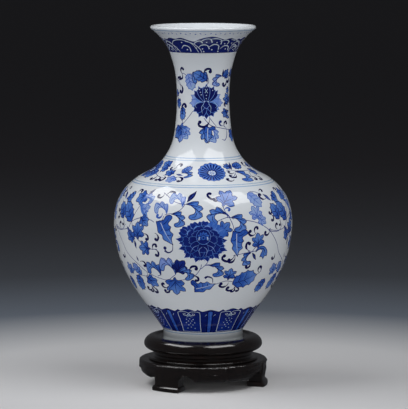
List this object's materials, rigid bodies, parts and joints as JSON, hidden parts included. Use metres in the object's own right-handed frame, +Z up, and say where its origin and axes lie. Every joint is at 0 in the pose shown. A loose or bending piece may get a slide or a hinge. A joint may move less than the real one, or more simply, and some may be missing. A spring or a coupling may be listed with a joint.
{
  "type": "bottle vase on stand",
  "caption": "Blue-and-white porcelain bottle vase with a trumpet mouth, standing loose on a round black lacquered wood stand.",
  "frame": {"origin": "centre of the circle on which the stand's three feet rest, on the surface it stands on", "axes": "+Z up along the vase's axis, -Y the side shown to the viewer, +X to the viewer's right"},
  "size_m": [0.1997, 0.1996, 0.4025],
  "materials": {
    "painted_porcelain": "clear gloss glaze over cobalt painting on white porcelain",
    "black_lacquer": "gloss black lacquer",
    "bare_wood": "bare turned dowel",
    "steel": "plain countersunk screw"
  },
  "bodies": {
    "stand": {"seat_disc": "black_lacquer", "waist_ring": "black_lacquer", "bead_ring": "black_lacquer", "core_board": "black_lacquer", "leg_segment_1": "black_lacquer", "leg_segment_2": "black_lacquer", "leg_segment_3": "black_lacquer", "foot_block_1": "black_lacquer", "foot_block_2": "black_lacquer", "foot_block_3": "black_lacquer", "joint_dowels_1": "bare_wood", "joint_dowels_2": "bare_wood", "joint_dowels_3": "bare_wood", "foot_pins": "bare_wood", "seat_screws": "steel"},
    "vase": {"vase": "painted_porcelain"}
  },
  "joints": [
    {"name": "vase_lift", "type": "slide", "parent": "stand", "child": "vase", "axis": [0, 0, 1], "range_m": [0, 0.08]}
  ]
}
